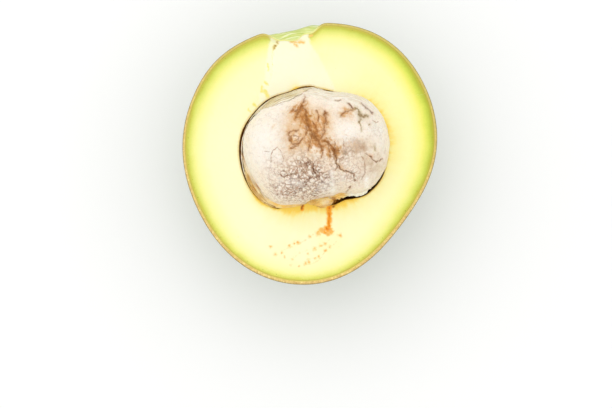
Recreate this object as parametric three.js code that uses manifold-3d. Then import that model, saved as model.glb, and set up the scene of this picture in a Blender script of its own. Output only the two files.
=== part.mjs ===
// Half of a round, green-skinned avocado, cut lengthwise through the stem end, with its seed still in it.
// Millimetres. The cut face looks up (+Z), the stem end points along +Y, and the skin rests on z = 0.

import * as THREE from "three";
import { mergeVertices } from "three/addons/utils/BufferGeometryUtils.js";
import Module from "manifold-3d";

// The whole fruit, measured from the middle of its cut face
const fruitHalfWidth = 53.5;
const fruitHalfLength = 54;
const fruitDepth = 51;
const flatSpotDepth = 0.9; // how far the skin is pressed in where it rests
const restingHeight = fruitDepth - flatSpotDepth;

// Swells and hollows of the fruit. Each lies in a direction, given in degrees round the cut face from +X
// and above the face. It rises in millimetres, spreads over a width in degrees, and has round sides
// (sides 2) or steep ones (sides 6).
const fruitSwells = [
  { name: "right shoulder", round: 49, above: 0, rise: 2.3, width: 25.5, sides: 2 },
  { name: "left shoulder", round: 128, above: 0, rise: 0.9, width: 16, sides: 2 },
  { name: "left flank", round: 198, above: 0, rise: -2.1, width: 31, sides: 2 },
  { name: "flattened lower right", round: -45.5, above: 0, rise: -7.4, width: 39, sides: 2 },
  { name: "back shoulder", round: 90, above: -40, rise: 1.5, width: 25, sides: 2 },
  { name: "dent in the back", round: -15, above: -50, rise: -0.8, width: 20, sides: 2 },
  { name: "slope to the stem", round: 90, above: 0, rise: -0.9, width: 22, sides: 2 },
  { name: "stem basin", round: 90.4, above: 0, rise: -5.8, width: 10.8, sides: 5 },
  { name: "stem scar", round: 91, above: 0, rise: -0.6, width: 3.6, sides: 4 },
];

// The seed cavity, about its own middle on the cut face
const cavityCentreX = 1.8;
const cavityCentreY = 3.6;
const cavityHalfWidth = 30.5;
const cavityHalfLength = 24.9;
const cavityDepth = 29;
const rimSquareness = 2.1; // 2 is an ellipse, and more is squarer
const wallSquareness = 2.4;

// Where the cavity's rim bulges out or flattens, in degrees round its middle
const rimBulges = [
  { name: "lower left corner", round: -127, rise: 4, width: 34 },
  { name: "pinch of the lower side", round: -109, rise: -4, width: 18 },
  { name: "lower right corner", round: -40, rise: 2, width: 19 },
  { name: "flat upper right", round: 65, rise: -2.8, width: 24 },
];

// The seed follows the cavity's rim at a gap, which is wider on the sides that it has shrunk from
const seedLeastGap = 0.4;
const seedGaps = [
  { name: "lower left side", round: -152, rise: 2.9, width: 28 },
  { name: "lower side", round: -80, rise: 3.3, width: 25 },
  { name: "upper left side", round: 135, rise: 1, width: 45 },
];
const seedHeight = 22; // above the cut face
const seedDomeSquareness = 2.5;
const seedBottomSquareness = 2.1;

// Swells and hollows of the seed's dome, given as those of the fruit are
const seedSwells = [
  { name: "left cheek", round: 166, above: 38, rise: 0.8, width: 22, sides: 2 },
  { name: "right cheek", round: 15, above: 57, rise: 0.8, width: 14, sides: 2 },
  { name: "pit beside the right cheek", round: -11, above: 53, rise: -0.7, width: 9, sides: 2 },
  { name: "valley at the top", round: 89, above: 66, rise: -0.7, width: 10, sides: 2 },
  { name: "round pit", round: 148, above: 70, rise: -0.6, width: 6, sides: 2 },
  { name: "lower swell", round: -110, above: 35, rise: 0.7, width: 24, sides: 2 },
];

// The papery coat is a cup close round the seed, torn off at a rim of uneven height. The rim's stations go
// once round the seed, and between two of them its height changes smoothly.
const coatThickness = 0.6;
const coatGap = 0.3;
const coatRim = [
  { round: -72, above: -28 },
  { round: 102, above: -28 },
  { round: 119, above: 13 },
  { round: 131, above: 18 },
  { round: 150, above: 12 },
  { round: 172, above: 2.5 },
  { round: 205, above: 1.5 },
  { round: 240, above: 1.5 },
  { round: 262, above: 2.5 },
  { round: 272, above: 5 },
  { round: 280, above: 3 },
  { round: 288, above: -28 },
];
const coatTears = [
  { waves: 9, height: 0.8, shift: 0 },
  { waves: 16, height: 0.5, shift: 1 },
];
const lipWidth = 1.6; // the coat thickens outwards into a lip along the seed's lower side
const lipMiddle = -87;
const lipSpread = 14;
const lipTop = 3;
const lipDrop = 14;

// How finely each surface is divided
const fruitAround = 72;
const fruitAlong = 52;
const stemCrowding = 1.4; // draws the fruit's rings together at the stem
const seedAround = 56;
const seedAlong = 28;
const cavityAlong = 29; // odd, so that no ring of points lies in the cut face
const coatAlong = 32;
const coatCupTop = 28; // the cup is made this high, in degrees, before its rim is torn
const tearAround = 112;
const tearAlong = 8;
const tearReach = 50;

const weldDistance = 1e-4;
const slabWidth = 200; // wider than the fruit

const wasm = await Module();
wasm.setup();

function directionAt(roundDegrees, aboveDegrees) {
  const round = THREE.MathUtils.degToRad(roundDegrees);
  const above = THREE.MathUtils.degToRad(aboveDegrees);
  return new THREE.Vector3(
    Math.cos(above) * Math.cos(round),
    Math.cos(above) * Math.sin(round),
    Math.sin(above),
  );
}

// The sum of all swells in one direction
function swellHeight(swells, direction) {
  let height = 0;
  for (const swell of swells) {
    const apart = direction.angleTo(directionAt(swell.round, swell.above));
    const share = THREE.MathUtils.radToDeg(apart) / swell.width;
    height += swell.rise * Math.exp(-(share ** swell.sides));
  }
  return height;
}

// The sum of all bulges of an outline at one place round it
function bulgeHeight(bulges, roundDegrees) {
  let height = 0;
  for (const bulge of bulges) {
    const apart = THREE.MathUtils.euclideanModulo(roundDegrees - bulge.round + 180, 360) - 180;
    height += bulge.rise * Math.exp(-((apart / bulge.width) ** 2));
  }
  return height;
}

// The distance from the middle to a rounded curve with two half sizes, along a unit direction
function squaredRound(along, halfAlong, across, halfAcross, squareness) {
  const sum = Math.abs(along / halfAlong) ** squareness + Math.abs(across / halfAcross) ** squareness;
  return sum ** (-1 / squareness);
}

function roundDegreesOf(direction) {
  return THREE.MathUtils.radToDeg(Math.atan2(direction.y, direction.x));
}

function fruitRadius(direction) {
  const ellipsoid =
    1 / Math.hypot(direction.x / fruitHalfWidth, direction.y / fruitHalfLength, direction.z / fruitDepth);
  return ellipsoid + swellHeight(fruitSwells, direction);
}

function cavityRimRadius(roundDegrees) {
  const round = THREE.MathUtils.degToRad(roundDegrees);
  const plain = squaredRound(
    Math.cos(round),
    cavityHalfWidth,
    Math.sin(round),
    cavityHalfLength,
    rimSquareness,
  );
  return plain + bulgeHeight(rimBulges, roundDegrees);
}

function cavityRadius(direction) {
  const rim = cavityRimRadius(roundDegreesOf(direction));
  const level = Math.hypot(direction.x, direction.y);
  return squaredRound(level, rim, direction.z, cavityDepth, wallSquareness);
}

function seedRadius(direction) {
  const roundDegrees = roundDegreesOf(direction);
  const outline = cavityRimRadius(roundDegrees) - seedLeastGap - bulgeHeight(seedGaps, roundDegrees);
  const level = Math.hypot(direction.x, direction.y);
  const isDome = direction.z > 0;
  const seedDepth = cavityDepth - coatThickness - 2 * coatGap;
  const plain = squaredRound(
    level,
    outline,
    direction.z,
    isDome ? seedHeight : seedDepth,
    isDome ? seedDomeSquareness : seedBottomSquareness,
  );
  return plain + swellHeight(seedSwells, direction);
}

// How high the coat reaches at one place round the seed, in degrees above the cut face
function coatRimAt(roundDegrees) {
  const start = coatRim[0].round;
  const round = THREE.MathUtils.euclideanModulo(roundDegrees - start, 360) + start;
  const next = coatRim.find((station) => station.round > round);
  const last = coatRim[coatRim.indexOf(next) - 1];
  const share = THREE.MathUtils.smoothstep(round, last.round, next.round);
  return THREE.MathUtils.lerp(last.above, next.above, share);
}

// The lip's thickness at one place of the coat
function lipAt(roundDegrees, aboveDegrees) {
  const across = (roundDegrees - lipMiddle) / lipSpread;
  const down = (aboveDegrees - lipTop) / lipDrop;
  return lipWidth * Math.exp(-(across ** 2) - down ** 2);
}

function tearHeight(roundDegrees) {
  const round = THREE.MathUtils.degToRad(roundDegrees);
  let height = 0;
  for (const tear of coatTears) height += tear.height * Math.sin(tear.waves * round + tear.shift);
  return height;
}

// A unit sphere with its poles on the stem's axis
function sphereOnY(around, along, startAngle) {
  return new THREE.SphereGeometry(1, around, along, startAngle);
}

// A unit sphere with its poles straight above and below
function sphereOnZ(around, along) {
  return new THREE.SphereGeometry(1, around, along).rotateX(Math.PI / 2);
}

// Moves each point of a unit sphere to where place(direction) puts it, and welds the seam
function shaped(sphere, place) {
  const positions = sphere.getAttribute("position");
  const direction = new THREE.Vector3();
  for (let i = 0; i < positions.count; i += 1) {
    direction.fromBufferAttribute(positions, i).normalize();
    const point = place(direction);
    positions.setXYZ(i, point.x, point.y, point.z);
  }
  sphere.deleteAttribute("normal");
  sphere.deleteAttribute("uv");
  return mergeVertices(sphere, weldDistance);
}

// 0 at both poles of a sphere and 1 at its equator
function rimShare(direction) {
  return 1 - Math.asin(Math.abs(direction.z)) / (Math.PI / 2);
}

// Degrees above the cut face for a point of a cup with its rim at a given height
function cupHeight(direction, rimDegrees) {
  return -90 + (rimDegrees + 90) * rimShare(direction);
}

// Turns a direction towards the stem, the more the further it is from the base
function crowdedToStem(direction) {
  const fromStem = Math.acos(THREE.MathUtils.clamp(direction.y, -1, 1));
  const level = Math.hypot(direction.x, direction.z);
  if (level === 0) return direction.clone();
  const turned = Math.PI * (fromStem / Math.PI) ** stemCrowding;
  const scale = Math.sin(turned) / level;
  return new THREE.Vector3(direction.x * scale, Math.cos(turned), direction.z * scale);
}

function solidOf(geometry) {
  return new wasm.Manifold(
    new wasm.Mesh({
      numProp: 3,
      vertProperties: new Float32Array(geometry.getAttribute("position").array),
      triVerts: new Uint32Array(geometry.index.array),
    }),
  );
}

function geometryOf(solid) {
  const mesh = solid.getMesh();
  const geometry = new THREE.BufferGeometry();
  geometry.setAttribute("position", new THREE.BufferAttribute(mesh.vertProperties, 3));
  geometry.setIndex(new THREE.BufferAttribute(mesh.triVerts, 1));
  return geometry;
}

function makeWholeFruit() {
  const halfStep = Math.PI / fruitAround; // keeps every meridian off the cut
  return shaped(sphereOnY(fruitAround, fruitAlong, halfStep), (direction) => {
    const turned = crowdedToStem(direction);
    return turned.multiplyScalar(fruitRadius(turned));
  });
}

function makeCavity() {
  return shaped(sphereOnZ(seedAround, cavityAlong), (direction) => {
    const point = direction.clone().multiplyScalar(cavityRadius(direction));
    return point.add(new THREE.Vector3(cavityCentreX, cavityCentreY, 0));
  });
}

// The skin and flesh: the lower half of the whole fruit, flat where it rests, with the cavity cut out
function makeFruitHalf() {
  const slab = new THREE.BoxGeometry(slabWidth, slabWidth, restingHeight);
  slab.translate(0, 0, -restingHeight / 2);
  slab.deleteAttribute("normal");
  slab.deleteAttribute("uv");
  const whole = solidOf(makeWholeFruit());
  const half = whole.intersect(solidOf(mergeVertices(slab, weldDistance)));
  return geometryOf(half.subtract(solidOf(makeCavity())));
}

function makeSeed() {
  return shaped(sphereOnZ(seedAround, seedAlong), (direction) =>
    direction.clone().multiplyScalar(seedRadius(direction)),
  );
}

// The coat before it is torn: the sphere's upper half becomes the inner face of a cup round the seed, and
// its lower half the outer face
function makeCoatCup() {
  return shaped(sphereOnZ(seedAround, coatAlong), (direction) => {
    const roundDegrees = roundDegreesOf(direction);
    const above = cupHeight(direction, coatCupTop);
    const turned = directionAt(roundDegrees, above);
    const thickness = coatThickness + lipAt(roundDegrees, above);
    const outwards = direction.z > 0 ? 0 : thickness;
    return turned.multiplyScalar(seedRadius(turned) + coatGap + outwards);
  });
}

// Everything under the coat's torn rim, out to well beyond the coat
function makeUnderRim() {
  return shaped(sphereOnZ(tearAround, tearAlong), (direction) => {
    const roundDegrees = roundDegreesOf(direction);
    const rim = coatRimAt(roundDegrees) + tearHeight(roundDegrees);
    if (direction.z > 0) return directionAt(roundDegrees, rim).multiplyScalar(tearReach * rimShare(direction));
    return directionAt(roundDegrees, cupHeight(direction, rim)).multiplyScalar(tearReach);
  });
}

function makeSeedCoat() {
  return geometryOf(solidOf(makeCoatCup()).intersect(solidOf(makeUnderRim())));
}

function namedMesh(name, geometry, colour, roughness) {
  geometry.computeVertexNormals();
  const material = new THREE.MeshStandardMaterial({ color: colour, roughness, metalness: 0 });
  const mesh = new THREE.Mesh(geometry, material);
  mesh.name = name;
  return mesh;
}

const fruitHalf = namedMesh("fruit_half", makeFruitHalf(), 0xf5f0b4, 0.45);
const seed = namedMesh("seed", makeSeed(), 0xd9cdbd, 0.75);
const seedCoat = namedMesh("seed_coat", makeSeedCoat(), 0xb5864a, 0.6);

const inCavity = new THREE.Group();
inCavity.position.set(cavityCentreX, cavityCentreY, 0);
inCavity.add(seed, seedCoat);

const avocadoHalf = new THREE.Group();
avocadoHalf.position.z = restingHeight;
avocadoHalf.add(fruitHalf, inCavity);

export default avocadoHalf;
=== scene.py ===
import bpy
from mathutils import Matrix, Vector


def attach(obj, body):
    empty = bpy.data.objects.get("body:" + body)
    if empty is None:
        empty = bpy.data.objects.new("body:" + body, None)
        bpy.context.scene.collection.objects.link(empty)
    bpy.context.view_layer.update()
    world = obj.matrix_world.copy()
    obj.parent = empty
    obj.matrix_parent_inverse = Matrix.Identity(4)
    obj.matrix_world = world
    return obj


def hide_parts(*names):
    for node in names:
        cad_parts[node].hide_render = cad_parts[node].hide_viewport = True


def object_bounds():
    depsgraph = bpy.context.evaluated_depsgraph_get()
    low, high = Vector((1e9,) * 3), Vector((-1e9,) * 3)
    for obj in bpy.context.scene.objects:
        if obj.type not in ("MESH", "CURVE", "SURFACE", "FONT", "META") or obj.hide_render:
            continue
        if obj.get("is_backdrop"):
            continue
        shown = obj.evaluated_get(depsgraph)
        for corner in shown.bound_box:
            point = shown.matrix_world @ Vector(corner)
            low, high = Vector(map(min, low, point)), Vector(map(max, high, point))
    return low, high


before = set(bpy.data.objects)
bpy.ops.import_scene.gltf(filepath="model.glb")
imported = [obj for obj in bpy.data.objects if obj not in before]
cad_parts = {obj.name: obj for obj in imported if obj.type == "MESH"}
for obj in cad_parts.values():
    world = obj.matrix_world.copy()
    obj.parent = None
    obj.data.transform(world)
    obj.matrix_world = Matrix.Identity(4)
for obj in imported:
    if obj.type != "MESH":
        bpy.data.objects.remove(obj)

import inspect
import math

import bpy
import numpy as np
from mathutils import Matrix, Quaternion, Vector, noise

# Half of a round, green-skinned avocado on its skin, the cut face up, with its seed still in it.
# The pieces are shaped in millimetres about the middle of the cut face and laid down in metres.
# Places round the fruit or the seed are in degrees from the right of the face, and the stem is near 90.
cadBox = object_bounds()
scene = bpy.context.scene
mm = 0.001

fruit = {
    "halfWidth": 53.5,
    "halfLength": 54,
    "depth": 51,
    "faceHeight": 50.1,  # the skin is pressed in by 0.9 where it rests
    "stem": 90.4,
    # round, above, rise and width of each swell or hollow, and the power of its sides where it isn't 2
    "swells": [
        (49, 0, 2.3, 25.5), (128, 0, 0.9, 16), (198, 0, -2.1, 31), (-45.5, 0, -7.4, 39), (90, -40, 1.5, 25),
        (-15, -50, -0.8, 20), (90, 0, -0.9, 22), (90.4, 0, -5.8, 10.8, 5), (91, 0, -0.6, 3.6, 4),
        # the notch's cut edge rises on either side of its middle, and its wall bulges out below the face
        (85, 0, 1.7, 3.6), (95, 0, 0.7, 4.5),
        (82, -9, 1.3, 4), (87, -9, 1.9, 4), (92, -9, 1.9, 4), (97, -9, 0.6, 4),
    ],
}

cavity = {
    "centre": (1.8, 3.6),
    "halfWidth": 30.5,
    "halfLength": 24.9,
    "depth": 29,
    "rimSquareness": 2.1,
    "wallSquareness": 2.4,
    # place round it, rise and width; the first four are large, the rest are finer waves of the cut rim
    "bulges": [
        (-127, 4, 34), (-109, -4, 18), (-40, 2, 19), (65, -2.8, 24),
        (83, 0.35, 7.5), (108, -0.25, 9), (111, -1, 15), (143, -0.55, 15),
        (-69.5, -0.75, 6.5), (-53.5, 0.4, 5.5), (-35, -0.5, 9),
    ],
}
cavityMiddle = np.array([*cavity["centre"], 0])
alongTurn = 0.45  # millimetres along the seed's edge for each degree round it
farAway = 9.0  # the value of a distance mask where nothing of it is near

seedForm = {
    "leastGap": 0.4,
    "gaps": [(-152, 2.9, 28), (-80, 3.3, 25), (135, 1, 45), (-110, -1, 7)],
    "height": 22,
    "depth": 27.8,
    "domeSquareness": 2.5,
    "bottomSquareness": 2.1,
    "swells": [
        (166, 38, 0.8, 22), (15, 57, 0.8, 14), (-11, 53, -0.7, 9),
        (89, 66, -0.7, 10), (148, 70, -0.6, 6), (-110, 35, 0.7, 24),
    ],
}


# Forms


def gauss(offset, width, sides=2):
    return np.exp(-np.abs(np.asarray(offset) / width) ** sides)


def near(turned, middle, spread, sides=2):
    # 1 at a place round the fruit, falling off on either side of it
    return gauss((np.asarray(turned) - middle + 180) % 360 - 180, spread, sides)


def bulgeHeight(bulges, turned):
    return sum(rise * near(turned, middle, width) for middle, rise, width in bulges)


def smoothStep(value, low, high):
    share = np.clip((np.asarray(value) - low) / (high - low), 0, 1)
    return share * share * (3 - 2 * share)


def plateau(value, begin, full, fall, end):
    return smoothStep(value, begin, full) * (1 - smoothStep(value, fall, end))


def directionAt(roundDegrees, aboveDegrees):
    turn, rise = np.broadcast_arrays(np.radians(roundDegrees), np.radians(aboveDegrees))
    return np.stack([np.cos(rise) * np.cos(turn), np.cos(rise) * np.sin(turn), np.sin(rise)], -1)


def roundOf(direction):
    return np.degrees(np.arctan2(direction[..., 1], direction[..., 0]))


def levelOf(direction):
    return np.hypot(direction[..., 0], direction[..., 1])


def swellHeight(swells, direction):
    height = 0
    for turn, above, rise, *sides in swells:
        cosine = np.clip(direction @ directionAt(turn, above), -1, 1)
        height = height + rise * gauss(np.degrees(np.arccos(cosine)), *sides)
    return height


def squaredRound(along, halfAlong, across, halfAcross, squareness):
    total = np.abs(along / halfAlong) ** squareness + np.abs(across / halfAcross) ** squareness
    return total ** (-1 / squareness)


def fruitRadius(direction):
    scaled = direction / np.array([fruit["halfWidth"], fruit["halfLength"], fruit["depth"]])
    return 1 / np.linalg.norm(scaled, axis=-1) + swellHeight(fruit["swells"], direction)


def rimRadius(turned):
    across, along = np.cos(np.radians(turned)), np.sin(np.radians(turned))
    plain = squaredRound(across, cavity["halfWidth"], along, cavity["halfLength"], cavity["rimSquareness"])
    return plain + bulgeHeight(cavity["bulges"], turned)


def cavityRadius(direction):
    rim = rimRadius(roundOf(direction))
    return squaredRound(levelOf(direction), rim, direction[..., 2], cavity["depth"], cavity["wallSquareness"])


def seedGap(turned):
    return seedForm["leastGap"] + bulgeHeight(seedForm["gaps"], turned)


def seedEdge(turned):
    return rimRadius(turned) - seedGap(turned)


def seedRadius(direction):
    outline, level, height = seedEdge(roundOf(direction)), levelOf(direction), direction[..., 2]
    dome = squaredRound(level, outline, height, seedForm["height"], seedForm["domeSquareness"])
    bottom = squaredRound(level, outline, height, seedForm["depth"], seedForm["bottomSquareness"])
    return np.where(height > 0, dome, bottom) + swellHeight(seedForm["swells"], direction)


def cloud(points, size, shift=0):
    # smooth random height of about -1 to 1 at each point, the same on every run
    move = Vector((shift, 2 * shift, 3 * shift))
    flat = points.reshape(-1, 3) / size
    found = [noise.fractal(Vector(point) + move, 1.0, 2.0, 3) for point in flat]
    return np.array(found).reshape(points.shape[:-1])


def relief(points, waves):
    # a wave is its height, its length and the shift that makes it unlike the others
    return sum(height * cloud(points, length, shift) for height, length, shift in waves)


def wander(points, length, height):
    # the points moved a little in plan, so that what is drawn on them wavers
    moved = points.copy()
    for axis, shift in enumerate((11, 18)):
        moved[..., axis] += height * cloud(points, length, shift)
    return moved


def spaced(first, last, count, power):
    # the levels of a stack of rings; a power under 1 crowds them at the last and one over 1 at the first
    return first + (last - first) * np.linspace(0, 1, count) ** power


def strokesShare(points, strokes):
    # in plan, 0 on the middle line of the nearest stroke, 1 at its edge and 9 at most
    flat = points[..., :2]
    nearest = np.full(points.shape[:-1], farAway)
    for width, *line in strokes:
        for start, end in zip(line, line[1:] or line):
            along = np.subtract(end, start)
            share = np.clip((flat - start) @ along / max(along @ along, 1e-12), 0, 1)
            apart = np.linalg.norm(flat - (start + share[..., None] * along), axis=-1)
            nearest = np.minimum(nearest, apart / width)
    return nearest


def patchField(points, patches, widening=1.0):
    # a patch is its middle in plan, its spread and its strength
    field = np.zeros(len(points))
    for *middle, spread, strength in patches:
        field += strength * gauss(np.linalg.norm(points[:, :2] - middle, axis=1), spread * widening)
    return field


def roundColumns(count, crowdAt, crowding, spread):
    # angles once round, drawn closer together about one of them
    fine = np.linspace(0, 360, 7201)
    density = 1 + crowding * near(fine, crowdAt, spread)
    passed = np.concatenate([[0], np.cumsum((density[1:] + density[:-1]) / 2)])
    return np.interp(np.arange(count) * passed[-1] / count, passed, fine)


# Meshes


def finishMesh(name, points, faces, masks, material, slot, replaced):
    mesh = bpy.data.meshes.new(name)
    mesh.from_pydata(((points + np.array([0, 0, fruit["faceHeight"]])) * mm).tolist(), [], faces)
    mesh.polygons.foreach_set("use_smooth", [True] * len(mesh.polygons))
    for label, values in masks.items():
        made = mesh.attributes.new(label, "FLOAT", "POINT")
        made.data.foreach_set("value", np.asarray(values, np.float32).ravel())
    mesh.materials.append(material)
    mesh.update()
    piece = bpy.data.objects.new(name, mesh)
    scene.collection.objects.link(piece)
    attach(piece, "root")
    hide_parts(replaced)
    print(name, len(mesh.vertices), "points")


def closedRings(rings):
    # the points and faces of rings that close round, with a fan to a pole point at each end
    rows, columns = len(rings), len(rings[0])
    place = np.arange(rows * columns).reshape(rows, columns)
    following = np.roll(place, -1, axis=1)
    quads = np.stack([place[:-1], place[1:], following[1:], following[:-1]], -1).reshape(-1, 4)
    pole = np.full(columns, rows * columns)
    startFan = np.stack([pole, place[0], following[0]], -1)
    endFan = np.stack([pole + 1, following[-1], place[-1]], -1)
    points = np.vstack([*rings, rings[0].mean(axis=0), rings[-1].mean(axis=0)])
    return points, quads.tolist() + startFan.tolist() + endFan.tolist()


def closedSheet(upper, lower):
    # the points and faces of two grids that are joined round their edge
    rows, columns = upper.shape[:2]
    place = np.arange(rows * columns).reshape(rows, columns)
    down = rows * columns
    quads = np.stack([place[:-1, :-1], place[1:, :-1], place[1:, 1:], place[:-1, 1:]], -1).reshape(-1, 4)
    under = quads[:, [0, 3, 2, 1]] + down
    edge = np.concatenate([place[:, 0], place[-1, 1:], place[-2::-1, -1], place[0, -2:0:-1]])
    after = np.roll(edge, -1)
    sides = np.stack([edge, edge + down, after + down, after], -1)
    points = np.vstack([upper.reshape(-1, 3), lower.reshape(-1, 3)])
    return points, quads.tolist() + under.tolist() + sides.tolist()


# Shader helpers


class Wire:
    # what a shader node puts out; it is added, multiplied and so on like a number

    def __init__(self, tree, socket):
        self.tree, self.socket = tree, socket

    def __add__(self, other):
        return calculate("ADD", self, other)

    def __sub__(self, other):
        return calculate("SUBTRACT", self, other)

    def __rsub__(self, other):
        return calculate("SUBTRACT", other, self)

    def __mul__(self, other):
        return calculate("MULTIPLY", self, other)

    def __truediv__(self, other):
        return calculate("DIVIDE", self, other)

    def __abs__(self):
        return calculate("ABSOLUTE", self)

    def clamped(self):
        self.socket.node.use_clamp = True
        return self


def plug(socket, value):
    if isinstance(value, Wire):
        value.tree.links.new(value.socket, socket)
    else:
        socket.default_value = value


def addNode(tree, kind, inputs=None, **settings):
    # the outputs of a new node, by name
    made = tree.nodes.new(kind)
    for key, value in settings.items():
        setattr(made, key, value)
    for key, value in (inputs or {}).items():
        plug(made.inputs[key], value)
    return {output.name: Wire(tree, output) for output in made.outputs}


def calculate(operation, *values):
    tree = next(value.tree for value in values if isinstance(value, Wire))
    return addNode(tree, "ShaderNodeMath", dict(enumerate(values)), operation=operation)["Value"]


def rise(value, low, high):
    # 0 where the value is low and 1 where it is high; low may be the larger of the two
    inputs = {"Value": value, "From Min": low, "From Max": high}
    return addNode(value.tree, "ShaderNodeMapRange", inputs, interpolation_type="SMOOTHSTEP")["Result"]


def noiseAt(vector, scale, detail, output="Fac", roughness=0.5):
    inputs = {"Vector": vector, "Scale": scale, "Detail": detail, "Roughness": roughness}
    return addNode(vector.tree, "ShaderNodeTexNoise", inputs)[output]


def srgb(red, green, blue):
    def channel(value):
        share = value / 255
        return share / 12.92 if share <= 0.04045 else ((share + 0.055) / 1.055) ** 2.4

    return (channel(red), channel(green), channel(blue), 1.0)


def blend(share, first, second):
    # each of the two is a wire or a colour
    made = share.tree.nodes.new("ShaderNodeMix")
    made.data_type = "RGBA"
    plug(made.inputs[0], share)
    for socket, value in zip(made.inputs[6:8], (first, second)):
        plug(socket, value if isinstance(value, Wire) else srgb(*value))
    return Wire(share.tree, made.outputs[2])


def painted(colour, *layers):
    # each layer is where it lies, its strength and its colour
    for where, strength, shade in layers:
        colour = blend(where * strength, colour, shade)
    return colour


def colourRamp(value, stops):
    tree = value.tree
    made = tree.nodes.new("ShaderNodeValToRGB")
    plug(made.inputs["Fac"], value)
    elements = made.color_ramp.elements
    while len(elements) < len(stops):
        elements.new(0.5)
    for element, (place, colour) in zip(elements, stops):
        element.position = place / stops[-1][0]
        element.color = srgb(*colour)
    return Wire(tree, made.outputs["Color"])


def shaderGroup(build):
    # turns a function into a node group that is built once, with its arguments as inputs and what it
    # returns as outputs; calling it then puts the group where its wires are
    group = bpy.data.node_groups.new(build.__name__, "ShaderNodeTree")
    labels = [label.capitalize() for label in inspect.signature(build).parameters]
    for label in labels:
        kind = "NodeSocketVector" if label == "Vector" else "NodeSocketFloat"
        group.interface.new_socket(name=label, in_out="INPUT", socket_type=kind)
    given = addNode(group, "NodeGroupInput")
    found = build(*[given[label] for label in labels])
    for label in found:
        group.interface.new_socket(name=label, in_out="OUTPUT", socket_type="NodeSocketFloat")
    addNode(group, "NodeGroupOutput", found)

    def put(*values):
        outputs = addNode(values[0].tree, "ShaderNodeGroup", dict(enumerate(values)), node_tree=group)
        results = list(outputs.values())
        return results if len(results) > 1 else results[0]

    return put


@shaderGroup
def mottling(vector, scale, detail, stretch):
    cloudy = noiseAt(vector, scale, detail, roughness=0.6)
    return {"Value": ((cloudy - 0.5) * stretch + 0.5).clamped()}


@shaderGroup
def spots(vector, scale, size, share):
    cell = addNode(vector.tree, "ShaderNodeTexVoronoi", {"Vector": vector, "Scale": scale})
    draw = addNode(vector.tree, "ShaderNodeSeparateColor", {"Color": cell["Color"]})
    radius = size * (draw["Green"] + 0.4)
    inside = ((radius - cell["Distance"]) / radius * 2).clamped()
    return {"Mask": inside * calculate("LESS_THAN", draw["Red"], share)}


@shaderGroup
def mark(vector, scale, distance, width, fade, wobble):
    # 1 where the distance is under the width, with a wavering edge
    apart = distance + (noiseAt(vector, scale, 4) - 0.5) * wobble
    return {"Mask": ((width - apart) / fade).clamped()}


@shaderGroup
def grain(vector, coarse, fine, balance):
    broad, small = noiseAt(vector, coarse, 3), noiseAt(vector, fine, 3)
    return {"Height": broad + (small - broad) * balance}


@shaderGroup
def cells(vector, scale, warp, border):
    # a net of warped cells: its lines, and the places where they meet
    cloudy = noiseAt(vector, 0.8, 5, "Color")
    moved = addNode(vector.tree, "ShaderNodeVectorMath", {0: cloudy, "Scale": warp}, operation="SCALE")
    place = addNode(vector.tree, "ShaderNodeVectorMath", {0: vector, 1: moved["Vector"]})
    where = {"Vector": place["Vector"], "Scale": scale}
    line = addNode(vector.tree, "ShaderNodeTexVoronoi", where, feature="DISTANCE_TO_EDGE")
    cell = addNode(vector.tree, "ShaderNodeTexVoronoi", where)
    return {
        "Border": 1 - (line["Distance"] / border).clamped(),
        "Corner": rise(cell["Distance"], 0.66, 0.82),
    }


@shaderGroup
def streaks(along, across, fineness):
    # long fine lines, from how far a point lies along and across them
    place = addNode(along.tree, "ShaderNodeCombineXYZ", {"X": along * 0.14, "Y": across * fineness})
    return {"Value": ((noiseAt(place["Vector"], 1, 3) - 0.5) * 4 + 0.5).clamped()}


print("shader groups ready")


def newMaterial(name, constants):
    material = bpy.data.materials.new(name)
    material.use_nodes = True
    for label, value in constants.items():
        material.node_tree.nodes["Principled BSDF"].inputs[label].default_value = value
    return material


def readers(material):
    # the place in millimetres, and a function that reads one of the piece's masks
    tree = material.node_tree
    metres = addNode(tree, "ShaderNodeTexCoord")["Object"]
    place = addNode(tree, "ShaderNodeVectorMath", {0: metres, "Scale": 1 / mm}, operation="SCALE")["Vector"]
    return place, lambda label: addNode(tree, "ShaderNodeAttribute", attribute_name=label)["Fac"]


def drawMarks(colour, place, mask, marks):
    # a mark is the mask that it follows, its width, fade and wobble, its strength and its colour
    for name, width, fade, wobble, strength, shade in marks:
        colour = painted(colour, (mark(place, 0.9, mask(name), width, fade, wobble), strength, shade))
    return colour


def dress(material, colour, roughness, height, bumpStrength, bumpDistance):
    tree = material.node_tree
    inputs = {"Height": height, "Strength": bumpStrength, "Distance": bumpDistance * mm}
    bump = addNode(tree, "ShaderNodeBump", inputs)
    for label, value in (("Base Color", colour), ("Roughness", roughness), ("Normal", bump["Normal"])):
        plug(tree.nodes["Principled BSDF"].inputs[label], value)
    return material


# Camera, set to the view in which the cut face is seen nearly straight on

view = {
    "lens": 85.0,
    "distance": 588.3,  # from the middle of the cut face
    "tilt": 4.0,  # degrees from straight above, towards the base
    "tiltAround": 250.0,
    "roll": 8.0,  # the stem end leans to the left in the picture
    "middle": (5.7, 49.4),  # where the middle of the face lies, in pixels right of and above the centre
    "width": 612,
}


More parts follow.
